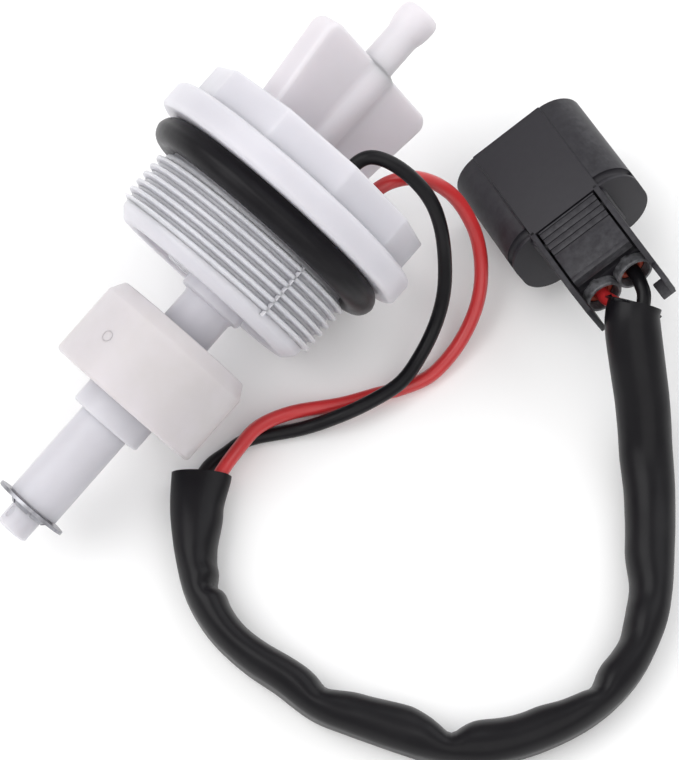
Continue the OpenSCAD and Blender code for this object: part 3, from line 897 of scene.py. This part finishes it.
class VALVE_OT_housing(bpy.types.Operator):
    """Build the connector's housing"""
    bl_idname = "valve.housing"
    bl_label = "Connector housing"

    def execute(self, context):
        sizes = context.scene.valve_sizes
        half, height = sizes.shroud_width / MM / 2, sizes.shroud_height / MM
        deep = sizes.shroud_length / MM
        wall, corner, band = 1.3, 5.4, 0.25     # wall, outer corners, height of the top's band
        way_x, way_y = 2.9, 6.7                 # middle of each terminal's way
        shell = slab("connector_body", (-half, half), (0, height - band), (0, deep), corner, 14)
        # The raised band along the top
        for x in (-6.35, 6.35):
            slice_across(shell, (x, 0, 0), (1, 0, 0))
        choose(shell, lambda c, n: n.y > 0.9 and abs(c.x) < 6.3)
        extrude(y=band)
        bpy.ops.object.mode_set(mode="OBJECT")
        soften(shell, 0.5, 4, 25)
        hollow = slab("hollow", (-half + wall, half - wall), (wall, height - wall),
                      (-1, deep - 2), corner - wall, 12)
        window = slab("window", (-3.5, 3.5), (10.3, 12.3), (deep - 3, deep + 1))
        cut(shell, hollow, window)
        # A groove over each shoulder, in front of the rear wall
        for side in (-1, 1):
            clear_selection()
            bpy.ops.mesh.primitive_circle_add(vertices=20, radius=0.78, enter_editmode=True,
                                              fill_type="NGON")
            select_all_points()
            bpy.ops.transform.rotate(value=math.pi / 2, orient_axis="X",
                                     center_override=(0, 0, 0))
            bpy.ops.transform.translate(value=(corner - 0.05, 0, 0))
            bpy.ops.mesh.spin(steps=16, angle=math.radians(85), center=(0, 0, 0), axis=(0, 0, -1))
            groove = out_of_edit("groove")
            move(groove, turn(90 if side < 0 else 2, "Z"))
            for vertex in groove.data.vertices:
                vertex.co.y = abs(vertex.co.y)
                vertex.co.x = side * abs(vertex.co.x)
            outwards(groove, "groove")
            move(groove, shift(side * (half - corner), height - band - corner, deep - 1.25))
            cut(shell, groove)
        nose = slab("nose", (-4.9, 4.9), (3.7, 9.7), (7, deep - 0.5))
        tail = slab("tail", (-5.8, 5.8), (3.7, 9.7), (deep - 1.8, 28.7), 0.8, 4)
        soften(nose, 0.25)
        soften(tail, 0.2)
        for side in (-1, 1):
            x = side * way_x
            for block in (nose, tail):
                cut(block, slab("way", (x - 1.4, x + 1.4), (way_y - 1.4, way_y + 1.4), (5, 23)))
            cut(tail, move(rod("seal_way", 2.35, 22.2, 31), shift(x, way_y, 0)))
        shell = join(shell, nose, tail)
        for side in (-1, 1):
            x = side * 5.9
            cheek = slab("cheek", (x - 0.45, x + 0.45), (3.7, height), (deep - 0.6, 33))
            # Its top edge drops towards its rear end
            slice_across(cheek, (0, 0, 30.2), (0, 0, 1))
            for vertex in cheek.data.vertices:
                if vertex.co.z > 32 and vertex.co.y > height - 0.1:
                    vertex.co.y = 10.7
            soften(cheek, 0.14)
            # Soft web between it and the shroud's shoulder
            web = slab("web", (side * 6.3 - 0.5, side * 6.3 + 0.5), (4.2, height - 1),
                       (deep - 0.4, deep + 1.2))
            soften(web, 0.45, 4)
            shell = join(shell, cheek, web)
        prong = slab("prong", (5.5, 6.3), (7.1, 10.3), (32.6, 36.8))
        soften(prong, 0.14)
        foot = slab("foot", (3.9, 6.2), (3.8, 5.4), (32.6, 35.2))
        soften(foot, 0.2)
        shell = join(shell, prong, foot)
        finish(shell, SHROUD, "sensor", dressed("housing_black"),
               ["connector_housing"])

        rims = [turned("seal_rims", [(2.36, 28.4), (2.36, 29.9), (2.5, 30.2), (2.9, 30.2),
                                     (3.04, 30), (3.04, 28.4), (2.36, 28.4)], SMALL)
                for _ in (0, 1)]
        for side, rim in zip((-1, 1), rims):
            move(rim, shift(side * way_x, way_y, 0))
        rim = join(*rims)
        finish(rim, SHROUD, "sensor", dressed("rim_grey"))
        return {"FINISHED"}


class VALVE_OT_lever(bpy.types.Operator):
    """Build the connector's thumb latch"""
    bl_idname = "valve.lever"
    bl_label = "Latch lever"

    def execute(self, context):
        pad = slab("thumb_latch", (-5.1, 5.1), (12.7, 14.4), (18.9, 29.9))
        grooves = [slab("groove", (-6, 6), (14.18, 15), (19.2 + 1.15 * i, 19.42 + 1.15 * i))
                   for i in range(5)]
        cut(pad, *grooves)
        soften(pad, 0.1, 2, 35)
        lip = slab("lip", (-5.1, 5.1), (14.0, 14.6), (29.0, 29.9))
        soften(lip, 0.12)
        post = slab("post", (-5.1, 5.1), (10.6, 13), (19.3, 21.1))
        arm = slab("arm", (-3.2, 3.2), (10.6, 11.4), (9.2, 20))
        hook = slab("hook", (-3.2, 3.2), (11.2, 11.8), (9.2, 10.4))
        for small in (post, arm, hook):
            soften(small, 0.12)
        pin = rod("pin", 0.8, -6.15, 6.15, 24)
        move(pin, shift(0, 11.7, 20.2) @ turn(90, "Y"))
        lever = join(pad, lip, post, arm, hook, pin)
        finish(lever, SHROUD, "latch", dressed("lever_black"), ["latch_lever"])
        return {"FINISHED"}


class VALVE_OT_seals(bpy.types.Operator):
    """Build the two wire seals"""
    bl_idname = "valve.seals"
    bl_label = "Wire seals"

    def execute(self, context):
        for name, side in (("left", -1), ("right", 1)):
            seal = turned("seal_" + name, [
                (1.1, 22.5), (2.0, 22.5), (2.3, 22.9), (2.3, 23.7), (1.95, 24), (1.95, 24.7),
                (2.3, 25), (2.3, 25.8), (1.95, 26.1), (1.95, 26.7), (2.32, 27), (2.32, 28.6),
                (1.9, 28.9), (1.5, 28.8), (1.15, 28.2), (1.1, 22.5)], SMALL)
            soften(seal, 0.1, 2, 30)
            move(seal, shift(side * 2.9, 6.7, 0))
            finish(seal, SHROUD, "sensor", dressed("silicone_red"),
                   ["wire_seal_" + name])
        return {"FINISHED"}


NODE_MATERIALS = {
    "retaining_clip": ("steel_plated", "spring_steel"),
    "potting_fill": ("resin_black", "potting_resin"),
    "reed_switch": ("switch_glass", "reed_glass"),
    "reed_leads": ("tin", "tinned_wire"),
    "float_magnet": ("ferrite_dark", "ferrite"),
    "drain_seal": ("rubber_black", "nitrile_rubber"),
    "terminal_lock": ("lever_black", "lock_nylon"),
    "interface_seal": ("silicone_red", "red_silicone"),
    "terminal_left": ("tin", "tinned_brass"),
    "terminal_right": ("tin", "tinned_brass"),
}


class VALVE_OT_small_parts(bpy.types.Operator):
    """Give the CAD pieces that stay their materials"""
    bl_idname = "valve.small_parts"
    bl_label = "Small parts"

    def execute(self, context):
        for name, (finish_name, slot) in NODE_MATERIALS.items():
            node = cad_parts[name]
            node.data.materials.clear()
            node.data.materials.append(dressed(finish_name))
        return {"FINISHED"}


class VALVE_OT_stage(bpy.types.Operator):
    """Set up the pale floor and the soft studio light"""
    bl_idname = "valve.stage"
    bl_label = "Stage"

    def execute(self, context):
        clear_selection()
        bpy.ops.mesh.primitive_plane_add(size=6)
        floor = bpy.context.object
        floor.name = "floor"
        paint = bpy.data.materials.new("floor_white")
        paint.use_nodes = True
        shader = paint.node_tree.nodes["Principled BSDF"]
        shader.inputs["Base Color"].default_value = (0.98, 0.98, 0.98, 1)
        shader.inputs["Roughness"].default_value = 0.9
        shader.inputs["Specular IOR Level"].default_value = 0.1
        floor.data.materials.append(paint)
        middle = Vector((0, -0.02, 0))
        for name, place, size, watts, tint in (
                ("key_light", (-0.35, 0.45, 0.8), 0.9, 5.6, (1, 1, 1)),
                ("side_light", (0.75, -0.1, 0.6), 0.9, 3.2, (0.97, 0.98, 1)),
                ("front_light", (-0.35, -0.6, 0.8), 1.0, 3.0, (1, 0.99, 0.98))):
            data = bpy.data.lights.new(name, "AREA")
            data.size = size
            data.energy = watts
            data.color = tint
            light = bpy.data.objects.new(name, data)
            context.scene.collection.objects.link(light)
            light.location = place
            light.rotation_euler = (middle - Vector(place)).to_track_quat("-Z", "Y").to_euler()
        world = bpy.data.worlds.new("studio")
        world.use_nodes = True
        world.node_tree.nodes["Background"].inputs["Color"].default_value = (1, 1, 1, 1)
        world.node_tree.nodes["Background"].inputs["Strength"].default_value = 0.62
        context.scene.world = world
        context.scene.view_settings.view_transform = "Standard"
        return {"FINISHED"}


class VALVE_PT_panel(bpy.types.Panel):
    """Lists the sizes, the colours and the build steps"""
    bl_label = "Float valve"
    bl_idname = "VALVE_PT_panel"
    bl_space_type = "VIEW_3D"
    bl_region_type = "UI"
    bl_category = "Float valve"

    def draw(self, context):
        for group in ("valve_sizes", "cord_sizes", "valve_colours"):
            values = getattr(context.scene, group)
            box = self.layout.box()
            for key in values.bl_rna.properties.keys():
                if key not in ("rna_type", "name"):
                    box.prop(values, key)
        for step in STEPS:
            self.layout.operator(step.bl_idname)


STEPS = (VALVE_OT_materials, VALVE_OT_camera, VALVE_OT_wires, VALVE_OT_sleeve, VALVE_OT_plug,
         VALVE_OT_ring, VALVE_OT_stem, VALVE_OT_float, VALVE_OT_knob, VALVE_OT_housing,
         VALVE_OT_lever, VALVE_OT_seals, VALVE_OT_small_parts, VALVE_OT_stage)
CLASSES = (ValveSizes, CordSizes, ValveColours, *STEPS, VALVE_PT_panel)


def register():
    for item in CLASSES:
        bpy.utils.register_class(item)
    bpy.types.Scene.valve_sizes = PointerProperty(type=ValveSizes)
    bpy.types.Scene.cord_sizes = PointerProperty(type=CordSizes)
    bpy.types.Scene.valve_colours = PointerProperty(type=ValveColours)


def unregister():
    for group in ("valve_sizes", "cord_sizes", "valve_colours"):
        delattr(bpy.types.Scene, group)
    for item in reversed(CLASSES):
        bpy.utils.unregister_class(item)


def main():
    register()
    for step in STEPS:
        family, name = step.bl_idname.split(".")
        getattr(getattr(bpy.ops, family), name)()
    bpy.context.view_layer.update()


if __name__ == "__main__":
    main()
